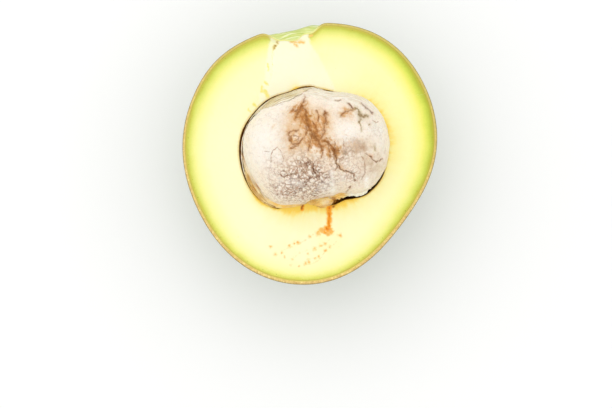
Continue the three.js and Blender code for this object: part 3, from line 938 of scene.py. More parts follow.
seed = {
    "columns": 560,
    "domeLevels": (89.4, 0, 136, 1),
    "bottomLevels": (-2, -89, 20, 1.1),
    "relief": 0.34,
    "broadWaves": [(0.8, 5, 3)],
    "smallWaves": [(1, 1.6, 6)],
    "wander": (1.9, 0.55),
    "reliefFrom": (-1, 3),
    "grooves": [("cracks", 0.4, 1.4), ("veins", 0.2, 1.5)],  # the lines pressed in, their depth and spread
    # the lower part is knobbliest: its middle and spread. The small waves' share elsewhere, and added there
    "roughest": (-3, -13, 11),
    "smallShares": (0.3, 0.6),
    "fanTop": (-1.7, 19),  # the stain's streaks run down from here
    # middle, spread and strength of each patch of the stain, in plan about the seed's middle
    "stain": [
        (-2.8, 15.2, 1.5, 1), (-4.2, 13.7, 1.7, 0.9), (-7.1, 13.3, 1.7, 0.6), (-5.8, 11, 1.8, 0.9),
        (-2.2, 10.9, 1.9, 0.9), (-2.6, 8, 2.1, 1), (-1.3, 5.4, 2.1, 1), (-0.1, 2.3, 2.3, 1.1),
        (1, -0.7, 2.2, 1.1), (1.9, -3.2, 1.2, 1), (4.9, 9.5, 1.5, 0.8), (4.3, 6.6, 1.5, 0.7),
        (4.1, 3.8, 1.7, 0.6), (1.8, 9.9, 2.5, 0.4), (2, 5.7, 2.1, 0.5), (-7.8, 2.2, 3.7, 0.45),
        (-9.2, 4.1, 1.5, 0.5), (-9.4, -0.4, 1.7, 0.4), (-9.7, 9.1, 2.5, 0.25), (-15.9, 8.4, 1.2, 0.3),
        (-2.5, -0.8, 2.2, 0.5), (-2.9, -5.8, 1.7, 0.3), (5.1, -0.8, 1.7, 1), (6.5, -4.2, 1.5, 0.9),
        (6.8, -7.8, 1.3, 0.7), (4.7, -6, 1.2, 0.8), (8.5, -4.9, 1.3, 0.6), (12.3, 9.7, 1.7, 0.6),
        (14.4, 9.9, 1.7, 0.6), (15.5, 6.4, 1, 0.4), (12.2, -2.1, 2.5, 0.3), (16.9, -3.5, 1.7, 0.4),
        (20.4, -8.3, 1.2, 0.5), (8.2, -10.5, 1.7, 0.4), (10.3, -13.1, 1.2, 0.5), (-13.4, -2.6, 2.5, 0.2),
    ],
    # the darker veins in it
    "veins": [
        (0.5, (-1.5, 18.4), (-2.6, 16.3), (-3.4, 14.9)),
        (0.6, (-3.4, 14.9), (-4.2, 13.7), (-5.9, 13.3), (-7.5, 13.6)),
        (0.7, (-4.2, 13.5), (-5.3, 11.7), (-6.2, 10.6)),
        (0.6, (-3.2, 14.8), (-2.3, 12.6), (-2, 10.5), (-2.5, 8.4), (-2.2, 6.3), (-1.3, 4.3), (-0.7, 2.4)),
        (0.8, (-0.7, 2.4), (0.4, 0.6), (1.3, -1.5), (1.9, -3.5)),
        (0.35, (-0.7, 2.4), (-2, 0.6), (-2.9, -1.3), (-3.4, -3.3)),
        (0.3, (1.9, -3.5), (1.7, -5.6), (1.4, -6.7)),
        (0.45, (5.2, 11.6), (5.3, 9.4), (4.9, 7.4), (4.1, 5.4), (3.7, 3), (2.6, 1.6), (1.6, 0.5)),
        (0.55, (2.7, -0.1), (4.7, -0.8), (6, -2.6), (6.8, -4.7), (7, -6.7)),
        (0.3, (4.4, -0.9), (4.9, -3.2), (5, -5.6), (4.6, -6.8)),
        (0.28, (-0.2, 7.7), (0.7, 5.1), (1.2, 2.8)), (0.28, (-3.6, 9), (-3.1, 6.9), (-2.6, 4.7)),
        (0.25, (2.1, 12), (2.6, 9.8), (2, 7.4)),
        (0.4, (11.3, 8.6), (12.3, 9.7), (14.4, 10.3), (16.9, 10.5)),
        (0.36, (-10.4, 4.2), (-9.3, 4.9), (-7.9, 5.3), (-6.4, 5.1)),
        (0.36, (-10.4, 4.2), (-10.2, 2.2), (-9.3, 0.6), (-8, -0.2), (-6.1, 0.3), (-5, 1.7)),
        (0.24, (-10.4, -1.5), (-9.2, -1.7), (-7.9, -1)),
    ],
    "cracks": [
        (0.26, (7, -6.7), (6.8, -9.1), (6.9, -11.3), (6.2, -12.2)),
        (0.26, (7.4, -10.3), (8.4, -12.1), (9.7, -13), (11.4, -13.7)),
        (0.2, (11.4, -13.7), (12.9, -14.6), (13.4, -15.8), (13.4, -17.6)),
        (0.24, (19.3, -7.4), (20.8, -8.7), (21.6, -10), (22.9, -10.9), (25.4, -10.2)),
        (0.2, (9.9, -20.9), (10.9, -19.7), (11.6, -18.9)),
        (0.2, (-15.7, -10.5), (-13.9, -12.2), (-13, -11.7), (-11.6, -11.5), (-9.3, -11.4)),
        (0.22, (-2.6, -9.8), (-2.1, -11.4), (-1.4, -12.9)), (0.42, (20.3, 13), (21.9, 11.1), (24.2, 8.6)),
        (0.3, (14.7, 13.7), (15.6, 12.5), (16.3, 11.2)), (0.28, (10.1, 15.3), (10.8, 14.9), (12.4, 15)),
    ],
    "hairlines": [
        (0.24, (-8.3, 3.1), (-7.3, 3.4), (-6.3, 2.8), (-6.7, 1.5), (-8, 1.2)),
        (0.2, (-9.4, -0.6), (-8.2, -0.9), (-7, -0.6)),
        (0.24, (17.1, -8.3), (17.7, -10.8), (17.9, -13.2), (17.4, -15.5), (16, -16.9)),
        (0.16, (-20.4, -0.9), (-18.7, -1.4)),
        (0.18, (-15.2, -0.1), (-17, -1), (-17.9, -3.1), (-18.2, -5.6)),
        (0.16, (-15.2, -0.1), (-14.4, -1.6), (-13.5, -3.8), (-13.4, -5.8)),
        (0.16, (-11.6, -11.5), (-10.8, -10.2), (-9.1, -9.9)),
        (0.18, (-7.1, -7.2), (-7, -9.2), (-6, -10.5), (-5.7, -11.7)),
        (0.16, (-5.6, -7.8), (-3.7, -8.8), (-2.6, -9.6)),
        (0.16, (-15.6, -18.2), (-14.5, -19), (-11.9, -18.4)),
        (0.16, (-8.9, -14.5), (-8, -13.8), (-5.6, -13.7)), (0.14, (23.8, 5.7), (24.9, 4.6), (26, 5)),
        (0.14, (7.4, -1.1), (7, -3.1), (7.6, -5.6)), (0.14, (10.8, -1.6), (10.8, -3.6), (10.1, -5.1)),
        (0.14, (-3.5, 4), (-4.3, 1.7), (-4.2, -0.7)),
    ],
    "olive": [
        (0.75, (17.2, 10.9), (18.4, 10.2), (18.9, 8.6), (19.6, 7.6), (21.8, 7.4)),
        (0.6, (18.6, 9.1), (18.9, 6.7), (18.2, 5.2)), (0.35, (18.3, 5.2), (18.4, 3.2), (18.3, 1.6)),
        (0.35, (22.2, 4.1), (22.2, 3.7)), (0.35, (23, -4.9), (23.2, -6.5)),
    ],
    "white": [
        (11.7, 0.3, 5, 1), (14, 3, 3.3, 0.5), (-0.7, -4.8, 1.9, 1), (-16.1, -2.2, 1.5, 0.8),
        (10.2, -11.1, 2.1, 0.5), (18.1, -17.9, 1.7, 0.7), (-19.2, 4.8, 6, 0.9), (-22.7, -2.6, 4.6, 0.7),
        (0.4, -18, 2.1, 0.6), (-11.3, -14.1, 1.9, 0.6), (8.5, 13.5, 3, 0.4), (4.3, -19.7, 2.5, 0.3),
        (-3.4, 5.7, 0.7, 0.7), (2.2, 3.7, 1, 0.6), (-6.9, 2.8, 1.4, 0.6), (-0.7, -3.2, 1.5, 0.9),
        (3, -4.9, 0.9, 0.9), (3, -7.5, 0.9, 0.6), (1.8, 7.5, 1, 0.4), (-1.1, 17.8, 0.6, 0.8),
        (8.7, -15.6, 1.5, 0.5), (3.9, -16.5, 1.2, 0.8), (4.2, -13.5, 1, 0.8), (-8.4, -15.7, 1.2, 0.7),
        (-16, -13, 1.8, 0.6), (-15.5, -4, 1.2, 0.8), (18, -17.9, 1, 1.2), (18.1, -19.8, 0.9, 1.2),
        (4.8, -12.4, 0.8, 0.6), (4.6, -15, 0.8, 0.8), (4.5, -17.6, 0.8, 1), (4.4, -19.8, 0.9, 0.9),
    ],
    "haze": [
        (-0.5, 7, 7, 0.9), (-7, 8.5, 4.5, 0.8), (-8, 2.5, 4.2, 0.9), (2, 0, 5.5, 0.7), (5.5, -5, 4.5, 0.6),
        (4.5, 9, 4, 0.6), (-3, -4, 5, 0.55), (13.5, 9.5, 3.5, 0.7), (-3, 15, 3.4, 0.6),
    ],
    # tan patches; those just right of the middle, below a whiter lump, are a painted shadow
    "tan": [
        (20.5, -11.5, 6, 1), (-10.5, -6, 5, 0.4), (10.6, -3.6, 3, 1), (14.3, -3.9, 3.3, 1.4),
        (17.6, -4.4, 2.6, 1), (-9.5, 3, 5.5, 0.6), (-6, 8, 6, 0.5), (22.5, 6, 3, 0.5), (9, -7.5, 3, 0.6),
        (21.5, -3, 3, 0.4), (-3, -7, 5, 0.4), (15, -3.2, 1.8, 0.9),
    ],
    # dark and golden blotches in the stain, and dark pits between the bumps
    "blotches": [
        (-3.3, 14.7, 0.9, 0.8), (-0.7, 3, 1.2, 1.1), (0.2, 0.8, 1.1, 1), (1.6, -3.2, 0.9, 1.2),
        (4.4, -1.1, 1.2, 1), (6.4, -4.8, 0.9, 1.1), (4.9, 10.1, 1, 1.3), (4.7, 6.6, 0.8, 1.1),
        (-9.9, 4.1, 0.7, 0.9), (-9.8, 2.6, 0.8, 0.8), (-6.3, 1, 0.7, 0.8), (-9.3, -1.7, 0.7, 0.7),
        (8.4, -4.7, 0.7, 0.9), (-2.5, 4, 0.8, 0.9), (-1.5, 6, 0.7, 0.7), (19.2, 8, 1, 0.6),
    ],
    "gold": [
        (-1.6, 10.1, 1.3, 0.8), (-2.2, 7.8, 1.2, 1), (4.8, -6.2, 0.9, 0.9), (-5.8, 10.7, 1.2, 0.5),
        (-0.6, 11.8, 1, 0.4), (-9, 2.2, 1.4, 0.4), (12.5, 9, 1.6, 0.4),
    ],
    "pits": [
        (-7.3, -7.6, 0.8, 0.7), (-4.5, -8.8, 0.9, 0.8), (-1.8, -12.3, 0.9, 1.2), (-8.5, -14.3, 0.7, 0.9),
        (-1.7, -14.2, 1.1, 0.9), (-0.1, -16, 0.9, 0.9), (-2.3, -19.1, 0.8, 0.9), (-10.4, -18.5, 0.8, 0.8),
        (-3.4, -20.3, 0.8, 0.8), (-15.7, -13.4, 0.6, 0.6), (-19.4, -14, 0.5, 0.6), (-13.3, -11.1, 0.8, 0.6),
        (-4, -17, 0.9, 0.7), (-6.5, -19.8, 0.9, 0.6),
    ],
    "mottled": [
        (-4.9, -8.7, 4.6, 0.7), (-2.2, -12.2, 3.7, 0.9), (-8.6, -12.1, 4.6, 0.7), (-13.2, -16.2, 4.6, 0.7),
        (-6.9, -17.5, 5.4, 0.8), (-2.1, -18.5, 4.2, 0.7), (-17.5, -17.1, 3.3, 0.5), (1.6, -14.7, 3.3, 0.6),
        (5.7, -7.7, 2.5, 0.5), (11.1, -4.4, 4.6, 0.6), (-16.1, -7.8, 5, 0.35), (13.8, -14.3, 3.3, 0.5),
        (9.5, -16, 4, 0.45), (9, -7, 3, 0.5),
    ],
    "marks": [
        ("veins", 2.8, 2.8, 3, 0.6, (188, 130, 76)),
        ("veins", 1.1, 1.4, 2.6, 0.85, (134, 82, 38)),
        ("olive", 2.4, 2.4, 2.6, 0.6, (188, 164, 104)),
        ("olive", 1, 1.2, 2.4, 0.8, (124, 90, 38)),
        ("hairlines", 1.6, 1.2, 1.8, 0.75, (170, 126, 92)),
        ("cracks", 2.8, 2.4, 2, 0.5, (202, 162, 124)),
        ("cracks", 1.3, 1, 1.4, 0.85, (122, 76, 44)),
    ],
    # middle and spread round the seed of fine papery lines by its edge, and how far in they reach
    "papery": (60, 38, 7),
}


def alongAndInset(points):
    # how far a point lies along the seed's edge and in from it, in millimetres
    turned = roundOf(points) % 360
    inset = seedEdge(turned) - levelOf(points)
    return {"along": turned * alongTurn, "inset": inset, "strand": inset + 0.4 * points[:, 2]}


def seedPaint(points):
    onDome = points[:, 2] > 0
    drawn = wander(points, *seed["wander"])
    masks = alongAndInset(points)
    for name in ("veins", "cracks", "hairlines", "olive"):
        masks[name] = strokesShare(drawn, seed[name]) + np.where(onDome, 0, farAway)
    for name in ("white", "tan", "blotches", "gold", "pits"):
        masks[name] = np.clip(patchField(drawn, seed[name]), 0, 1.6)
    middle, spread, reach = seed["papery"]
    byEdge = smoothStep(-masks["inset"], -reach, -0.4 * reach)
    fromTop = drawn[:, :2] - seed["fanTop"]
    return {
        **masks,
        "stain": np.clip(0.75 * patchField(drawn, seed["stain"], 1.35), 0, 1.9) * onDome,
        "haze": np.clip(patchField(drawn, seed["haze"]), 0, 1) * onDome,
        "mottled": np.clip(0.75 * patchField(drawn, seed["mottled"], 1.3), 0, 1),
        "fanTurn": np.degrees(np.arctan2(fromTop[:, 0], -fromTop[:, 1])),
        "fanReach": np.linalg.norm(fromTop, axis=1),
        "shadeSide": smoothStep(-points[:, 1], -4, 16),
        "below": smoothStep(-points[:, 2], -1, 4),
        "papery": near(roundOf(points), middle, spread, 4) * byEdge,
    }


def makeSeedMaterial():
    constants = {"Specular IOR Level": 0.1, "Subsurface Weight": 0.05, "Subsurface Scale": 0.001}
    material = newMaterial("seed_stone", constants)
    place, mask = readers(material)
    slow, middle = mottling(place, 0.15, 5, 2.6), mottling(place, 0.45, 6, 3)
    quick, broken = mottling(place, 1.15, 5, 3.2), mottling(place, 0.75, 6, 3.6)
    border, corner = cells(place, 0.55, 2, 0.2)
    fineBorder, fineCorner = cells(place, 1.1, 1.2, 0.3)
    tan, white, hazy, stained = mask("tan"), mask("white"), mask("haze"), mask("stain")
    # the lower half is a grey-brown net round whiter patches, with dark pits where its lines meet
    area = mask("mottled") * rise(slow, -0.3, 0.6)
    web = area * border * rise(quick, 0.1, 0.6)
    fineWeb = area * fineBorder * rise(quick, 0.4, 0.8)
    corners = (corner * middle + fineCorner * quick).clamped()
    flecked = (hazy * 0.5 + area + 0.2).clamped()
    colour = painted(
        blend(slow, (252, 234, 208), (255, 251, 241)),
        (middle, 0.45, (255, 252, 245)),
        (mask("shadeSide"), 0.3, (244, 226, 198)),
        # tan patches, right of the middle a painted shadow below the whiter lump
        (tan * (middle + 0.3), 0.8, (216, 190, 158)),
        (border * rise(middle, 0.35, 0.9), 0.45, (204, 180, 152)),
        (fineBorder * rise(slow, 0.45, 0.9), 0.25, (206, 182, 154)),
        (rise(quick, 0.7, 1), 0.3, (206, 178, 148)),
        (hazy * rise(middle, -0.6, 0.7), 0.85, (232, 194, 150)),
        # darker where the tan is strongest, mostly in the painted shadow below the whiter lump
        (rise(tan, 0.9, 1.6) * rise(quick, -0.2, 0.7), 0.8, (178, 144, 116)),
        (area * middle, 0.5, (236, 200, 168)),
        (area * rise(border, 0.5, 0), 0.65, (254, 246, 233)),
        (web, 0.75, (172, 118, 84)),
        (fineWeb, 0.5, (186, 134, 102)),
        (area * corners, 0.75, (112, 74, 56)),
        (mask("pits") * rise(quick, 0.35, 0.75), 0.75, (108, 72, 62)),
        (spots(place, 1.3, 0.3, 0.5) * flecked, 0.55, (150, 112, 80)),
        (white * rise(quick, 0, 0.6), 0.8, (255, 249, 238)),
    )
    # the brown stain breaks up in streaks that fan down from its top
    fan = mask("fanReach"), mask("fanTurn")
    uneven = (streaks(*fan, 0.16) * 0.8 + broken - 0.95) * (stained * 1.6).clamped()
    stain = stained + uneven
    fibres = rise(streaks(*fan, 0.4), 0.6, 1) * rise(stain, 0.3, 1.2)
    colour = painted(
        colour,
        (rise(stain, -0.1, 0.8), 0.8, (234, 200, 158)),
        (rise(stain, 0.25, 1.25), 0.85, (216, 160, 100)),
        (rise(stain, 0.8, 1.8), 0.8, (196, 128, 62)),
        (rise(stain, 1.5, 2.5), 0.8, (140, 86, 40)),
        (fibres, 0.6, (146, 92, 50)),
        (mask("gold") * broken, 0.8, (196, 138, 52)),
        (mask("blotches") * rise(broken, 0.1, 0.7), 0.85, (124, 76, 40)),
        (white * rise(broken, 0.9, 0.3) * hazy, 0.8, (250, 232, 208)),
    )
    papery = mask("papery")
    lined = papery * rise(streaks(mask("along"), mask("strand"), 1.5), 0.35, 0.9)
    colour = painted(
        drawMarks(colour, place, mask, seed["marks"]),
        (papery, 0.5, (253, 247, 232)),
        (lined, 0.6, (222, 196, 156)),
        (mask("below"), 1, (150, 104, 62)),
    )
    height = grain(place, 0.7, 2.6, 0.5) - web * 0.5 - lined * 0.3
    return dress(material, colour, middle * 0.2 + 0.55, height, 0.8, 0.75)


def seedSurface(direction):
    # the seed's surface with its relief, in millimetres about the seed's middle
    points = direction * seedRadius(direction)[..., None]
    drawn = wander(points, *seed["wander"])
    *middle, spread = seed["roughest"]
    area = gauss(np.linalg.norm(points[..., :2] - middle, axis=-1), spread)
    elsewhere, added = seed["smallShares"]
    small = relief(points, seed["smallWaves"]) * (elsewhere + added * area)
    height = seed["relief"] * (relief(points, seed["broadWaves"]) + small)
    for name, depth, spread in seed["grooves"]:
        height = height - depth * gauss(strokesShare(drawn, seed[name]), spread)
    return points + direction * (height * smoothStep(points[..., 2], *seed["reliefFrom"]))[..., None]


def makeSeed():
    columns = np.linspace(0, 360, seed["columns"], endpoint=False)
    above = np.concatenate([spaced(*seed["domeLevels"]), spaced(*seed["bottomLevels"])])
    points, faces = closedRings(seedSurface(directionAt(columns[None, :], above[:, None])))
    masks = seedPaint(points)
    finishMesh("seed_stone", points + cavityMiddle, faces, masks, makeSeedMaterial(), "seed", "seed")


makeSeed()


# Seed coat: a torn papery cup round the seed, with loose films against it and a flap over the flesh

coat = {
    "columns": 480,
    "shares": (0, 1, 44, 0.6),  # of the way up to its torn rim
    "lowest": -88,
    "thickness": 0.42,
    "gap": 0.12,
    # along the top of the seed it is a thin film: where that ends round the seed, the level that the film
    # starts from there and elsewhere, and the height that it takes to thin out
    "filmThickness": 0.14,
    "filmGap": 0.05,
    "filmEnd": (150, 176),
    "filmFrom": (-16, 4),
    "filmRise": 12,
    # how high the coat reaches at places round the seed, in degrees above the face
    "rim": [
        (-30, -28), (60, -28), (66, 6), (76, 13), (86, 22), (94, 31), (102, 36), (112, 37), (119, 35),
        (128, 33), (135, 27), (139, 17), (150, 10), (172, 2.5), (205, 1), (230, 0.5), (235, -14),
        (258, -14), (263, 0.3), (276, -0.5), (286, -3), (312, -4), (330, -28),
    ],
    "tears": [(9, 0.8, 0), (16, 0.5, 1), (43, 0.35, 2), (97, 0.25, 0.5)],  # waves round it, size, shift
    # what is left open between the coat and the flesh at places round the seed
    "outerGap": [
        (62, 0.25), (78, 0.3), (86, 0.34), (95, 0.34), (104, 0.3), (120, 0.3), (140, 0.4), (150, 0.66),
        (160, 0.85), (172, 0.85), (180, 0.62), (188, 0.42), (200, 0.26), (208, 0.12), (214, 0.05),
        (240, 0.05), (247, 0.1), (253, 0.05), (264, 0.06), (272, 0.12), (280, 0.3), (286, 0.6),
    ],
    "lips": [(262, 0.9, 22), (238, 0.5, 14)],  # extra thickness: middle, size and spread
    # degrees above the face between which the lips rise, the coat leans and its outside meets the wall
    "lipLevels": (-20, 0),
    "leanLevels": (-24, 1, 3, 16),
    "wallLevels": (-40, -24),
    "leanRound": (60, 66, 281, 288),  # where it leans round the seed
    "bridge": 0.07,  # below the rim the coat swells out to the cavity's wall, all but this
    "innerBridge": 0.19,
    # how far below the face that begins at places round the seed, in degrees
    "ledge": [
        (60, 0.6), (140, 0.8), (155, 1.6), (200, 1.6), (212, -3), (262, -3), (274, 1), (284, 5), (318, 5),
        (330, 1),
    ],
    # its torn edge has a painted shadow line from this level up, fainter away from one place round the seed
    "edgeShadowFrom": 5,
    "edgeShadowRound": (107, 12),
    "faintness": 1.2,
    # its tints on the outside, by the places round the seed
    "creamRound": (224, 240, 286, 290),
    "ochreRound": (186, 202, 226, 240),
    # near-black painted shade on its outside, in the gap at the lower right
    "gapShadeRound": (303, 16, 6),
    "oliveRound": (118, 22, 4),
}


def coatRimAt(turned):
    stations = np.array(coat["rim"], float)
    wrapped = (np.asarray(turned) + 30) % 360 - 30
    index = np.clip(np.searchsorted(stations[:, 0], wrapped, side="right"), 1, len(stations) - 1)
    last, following = stations[index - 1], stations[index]
    share = smoothStep((wrapped - last[:, 0]) / (following[:, 0] - last[:, 0]), 0, 1)
    height = last[:, 1] + (following[:, 1] - last[:, 1]) * share
    for waves, size, shift in coat["tears"]:
        height = height + size * np.sin(waves * np.radians(turned) + shift)
    return height


def filmShare(turned):
    # 1 where the coat is a thin film along the top of the seed, 0 to its left and below
    return 1 - smoothStep(turned, *coat["filmEnd"])


def coatLean(turned):
    # how far the coat has fallen away from the seed, along its left and lower sides
    outerGap = np.interp(turned, *zip(*coat["outerGap"]))
    film = filmShare(turned)
    own = (coat["thickness"] + coat["gap"]) * (1 - film) + (coat["filmThickness"] + coat["filmGap"]) * film
    space = seedGap(turned) - outerGap - bulgeHeight(coat["lips"], turned) - own
    return np.clip(space, 0, None) * plateau(turned, *coat["leanRound"])


def makeCoatMaterial():
    constants = {"Specular IOR Level": 0.12, "Subsurface Weight": 0.06, "Subsurface Scale": 0.001}
    material = newMaterial("seed_coat_paper", constants)
    place, mask = readers(material)
    slow, quick = mottling(place, 0.3, 5, 3), mottling(place, 1.4, 4, 3)
    lines, fineLines = (streaks(mask("along"), mask("strand"), fineness) for fineness in (1, 2.4))
    cream = painted(
        blend(slow, (255, 204, 100), (255, 228, 156)),
        (rise(quick, 0.55, 1), 0.5, (234, 176, 80)),
        (rise(lines, 0.5, 0.9), 0.6, (230, 168, 72)),
    )
    ochre = painted(
        blend(slow, (226, 178, 88), (250, 224, 150)),
        (rise(fineLines, 0.35, 0.8), 0.7, (166, 116, 44)),
    )
    # the coat's brown outside, near-black as painted shade in the gap at the lower right
    brown = painted(blend(quick, (152, 92, 24), (206, 142, 56)), (mask("dark"), 0.95, (46, 12, 2)))
    colour = painted(
        blend(slow, (236, 212, 176), (250, 236, 210)),
        (mask("olive"), 0.85, (204, 180, 122)),
        (rise(lines, 0.4, 0.8), 0.75, (172, 148, 98)),
        (rise(fineLines, 0.5, 0.8), 0.6, (255, 251, 238)),
        (mask("cream"), 1, cream),
        (mask("ochre"), 1, ochre),
        (mask("white") * rise(slow, -0.4, 0.3), 0.95, (255, 249, 228)),
        # a grey line along the torn edge: painted shadow of the edge
        (mark(place, 0.9, mask("edge"), 0.9, 0.9, 0.5), 0.7, (158, 148, 122)),
        (mask("brown"), 1, brown),
    )
    return dress(material, colour, slow * 0.2 + 0.5, grain(place, 1.2, 4, 0.5) + lines * 0.4, 0.5, 0.4)


coatMaterial = makeCoatMaterial()


def makeTornCoat():
    columns = np.linspace(0, 360, coat["columns"], endpoint=False)
    rim, lip, lean = coatRimAt(columns), bulgeHeight(coat["lips"], columns), coatLean(columns)
    onTop, elsewhere = coat["filmFrom"]
    filmFrom = elsewhere + (onTop - elsewhere) * filmShare(columns)
    ledgeFrom = np.interp(columns, *zip(*coat["ledge"]))
    faint = coat["faintness"] * (1 - near(columns, *coat["edgeShadowRound"]))
    rings, edge, brown = [], [], []

    def addRing(share, outside):
        above = coat["lowest"] + (rim - coat["lowest"]) * share
        direction = directionAt(columns, above)
        film = smoothStep(above - filmFrom, 0, coat["filmRise"])
        start = coat["gap"] + (coat["filmGap"] - coat["gap"]) * film
        thickness = coat["thickness"] + (coat["filmThickness"] - coat["thickness"]) * film
        thickness = thickness + lip * smoothStep(above, *coat["lipLevels"]) * (1 - film)
        leaning = lean * plateau(above, *coat["leanLevels"])
        away = np.linalg.norm(seedSurface(direction), axis=1) + start + leaning + outside * thickness
        wall = cavityRadius(direction) - (coat["bridge"] if outside else coat["innerBridge"])
        if outside == 1:
            below = smoothStep(-above, ledgeFrom, ledgeFrom + 3) * smoothStep(above, *coat["wallLevels"])
            away = away + np.clip(wall - away, 0, None) * below
        away = np.where(above < 0, np.minimum(away, wall), away)
        rings.append(direction * away[:, None])
        # distance to the torn edge, for its painted shadow line
        edge.append(np.where(above > coat["edgeShadowFrom"], np.abs(rim - above) * alongTurn + faint, 3.0))
        brown.append(smoothStep(-above, -0.6, 1.4))

    shares = spaced(*coat["shares"])
    for share in shares:
        addRing(share, 0)
    addRing(1, 0.5)
    for share in shares[::-1]:
        addRing(share, 1)
    points, faces = closedRings(rings)
    turned = roundOf(points) % 360
    masks = alongAndInset(points)
    nearRim = 1 - smoothStep(masks["inset"], 1.2, 3.8)
    masks.update({
        "edge": np.append(edge, [farAway, farAway]),
        "brown": np.append(brown, [1, 1]),
        "cream": plateau(turned, *coat["creamRound"]),
        "ochre": plateau(turned, *coat["ochreRound"]),
        "white": np.zeros(len(points)),
        # where the coat gets its painted shade in the gap
        "dark": near(turned, *coat["gapShadeRound"]),
        "olive": near(turned, *coat["oliveRound"]) * smoothStep(points[:, 2], 0.2, 1.2) * nearRim,
    })
    finishMesh("torn_coat", points + cavityMiddle, faces, masks, coatMaterial, "seed_coat", "seed_coat")


# films that lie loose against the seed: the places round it where each begins and ends, its width there out
# from the seed, its heights at the seed, halfway and outside, and its tints: what, place round the seed and
# spread, share of the width and spread, strength
films = {
    "film_left": {
        "round": (167, 256),
        "width": None,  # it fills what the leaning coat leaves open, and further on it covers the coat too
        "overCoat": (227, 232),
        "heights": (0.8, 0.45, 0.35),
        "taper": 0.35,
        "ragged": 1,
        "tints": [
            ("ochre", 206, 19, 0.8, 0.5, 0.9), ("cream", 236, 16, 0.5, 1, 1),
            ("brown", 208, 4, 0.14, 0.1, 0.8), ("brown", 208, 3.5, 0.68, 0.08, 0.9),
            ("brown", 199, 4, 0.75, 0.2, 0.5), ("brown", 179, 9, 0.5, 0.16, 0.7),
            ("brown", 215, 2, 0.6, 0.4, 0.25),
        ],
    },
    "film_right": {
        "round": (276.5, 315),
        "rimSpace": 0.28,  # what it leaves open to the flesh
        "width": [
            (276.5, 3.6), (279, 3.6), (281, 3.2), (284, 2.4), (287, 2.4), (290, 2.45), (294, 1.9),
            (297, 1.65), (300, 1.5), (303, 1.3), (306, 1.2), (310, 0.95), (312.5, 0.3), (315, 0.2),
        ],
        "heights": (1.5, 1, 0.1),
        "taper": 0.3,
        "ragged": 3,
        "tints": [
            ("cream", 288, 9, 0.5, 1, 1), ("white", 304, 9, 0.7, 1, 1.3),
            ("brown", 280.5, 3.5, 0.9, 0.6, 1),
        ],
    },
    "coat_flap": {
        "round": (254, 281.5),
        "width": [
            (254, 1.6), (258, 2.3), (261, 2.8), (264, 3.2), (267, 3.7), (270, 4), (275, 4.2), (279, 4.3),
            (281.5, 4.1),
        ],
        "heights": (0.8, 0.55, 0.3),
        "taper": 0.3,
        "ragged": 1.6,
        "tints": [
            ("cream", 266, 20, 0.5, 1, 1), ("ochre", 259, 7, 0.4, 0.6, 0.7),
            ("ochre", 268, 12, 0.1, 0.12, 0.6), ("ochre", 268, 12, 1, 0.16, 0.8),
            ("white", 273, 4, 0.55, 0.25, 0.5), ("brown", 281.5, 1.6, 0.8, 0.6, 0.8),
            ("brown", 274, 5, 0.04, 0.07, 0.6),
        ],
    },
}
sheet = {
    "rows": 30,
    "columns": 170,
    "thickness": 0.18,
    "sunk": 0.06,  # it springs from this far inside the seed's surface
    "narrowest": 0.15,
    "leastWidth": 0.2,
    "lap": 0.08,
    "endHeight": 0.4,
    "raggedWaves": [(0.16, 1.3, 2), (0.1, 0.5, 4)],
    "tornWaves": [(0.3, 3.1, 5), (0.12, 0.9, 7)],
}


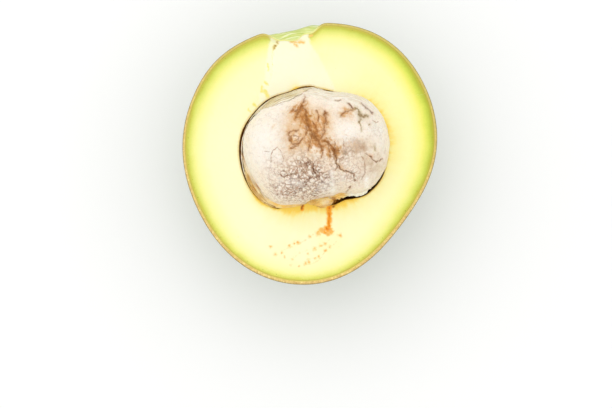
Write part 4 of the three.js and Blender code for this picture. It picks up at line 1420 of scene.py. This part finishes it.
def makeFilm(name, film):
    turns = np.linspace(*film["round"], sheet["columns"])
    level = directionAt(turns, 0)
    if film["width"]:
        width = np.interp(turns, *zip(*film["width"]))
    else:
        width = coatLean(turns) + coat["gap"] + sheet["lap"]
        width += (coat["thickness"] + bulgeHeight(coat["lips"], turns)) * smoothStep(turns, *film["overCoat"])
    ends = np.sin(np.pi * np.linspace(0.01, 0.99, sheet["columns"])) ** film["taper"]
    width = sheet["narrowest"] + np.maximum(width - sheet["narrowest"], sheet["leastWidth"]) * ends
    share = np.linspace(0, 1, sheet["rows"])[:, None]
    seedSide = directionAt(turns, np.degrees(np.arctan2(film["heights"][0], seedEdge(turns))))
    seedAt = levelOf(seedSurface(seedSide)) - sheet["sunk"]
    reach = seedAt + (seedEdge(turns) + width - seedAt) * share
    upper = level * reach[..., None]
    ragged = film["ragged"] * relief(upper, sheet["raggedWaves"])
    raised = sheet["endHeight"] + (1 - sheet["endHeight"]) * ends
    upper[..., 2] = np.interp(share, [0, 0.5, 1], film["heights"]) * raised + ragged
    torn = film["ragged"] * relief(upper, sheet["tornWaves"])
    reach = reach + smoothStep(share, 0.5, 1) * torn
    if "rimSpace" in film:
        reach = np.minimum(reach, rimRadius(turns) - film["rimSpace"] * (1 + cloud(upper, 0.9, 8)))
    upper[..., :2] = level[:, :2] * reach[..., None]
    points, faces = closedSheet(upper, upper - np.array([0, 0, sheet["thickness"]]))
    masks = {label: np.zeros(reach.shape) for label in ("brown", "cream", "ochre", "white", "olive", "dark")}
    for label, middle, spread, inward, reachOut, strength in film["tints"]:
        tinted = strength * near(turns, middle, spread, 4) * gauss(share - inward, reachOut)
        masks[label] = np.maximum(masks[label], tinted)
    masks = {label: np.tile(values.ravel(), 2) for label, values in masks.items()}
    masks.update(alongAndInset(points), edge=np.full(len(points), 2.0))
    finishMesh(name, points + cavityMiddle, faces, masks, coatMaterial, "seed_coat", "seed_coat")


makeTornCoat()
for filmName, filmValues in films.items():
    makeFilm(filmName, filmValues)


# Studio: a pale floor, an even white surround and a large soft light from the stem's side

studio = {
    "floorSize": 6.0,
    "floor": (251, 251, 250),
    "surround": 1.0,
    "keyPower": 0.62,
    "keySize": 0.6,
    "keyFrom": (-120, 260, 640),
}


def makeFloor():
    half = studio["floorSize"] / 2
    corners = [(-half, -half, 0), (half, -half, 0), (half, half, 0), (-half, half, 0)]
    mesh = bpy.data.meshes.new("floor")
    mesh.from_pydata(corners, [], [(0, 1, 2, 3)])
    constants = {"Base Color": srgb(*studio["floor"]), "Specular IOR Level": 0.1, "Roughness": 0.9}
    mesh.materials.append(newMaterial("floor_paint", constants))
    floor = bpy.data.objects.new("floor", mesh)
    scene.collection.objects.link(floor)
    floor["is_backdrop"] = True


def makeLights():
    scene.world = bpy.data.worlds.new("surround")
    scene.world.use_nodes = True
    background = scene.world.node_tree.nodes["Background"]
    background.inputs["Color"].default_value = (1, 1, 1, 1)
    background.inputs["Strength"].default_value = studio["surround"]
    data = bpy.data.lights.new("key", "AREA")
    data.energy = studio["keyPower"]
    data.size = studio["keySize"]
    key = bpy.data.objects.new("key", data)
    scene.collection.objects.link(key)
    key.location = Vector(studio["keyFrom"]) * mm
    aim = Vector((0, 0, fruit["faceHeight"] * mm)) - key.location
    key.rotation_euler = aim.to_track_quat("-Z", "Y").to_euler()


makeFloor()
makeLights()
scene.view_settings.view_transform = "Standard"
print("studio ready")

boxes = {"cad": cadBox, "visual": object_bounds()}
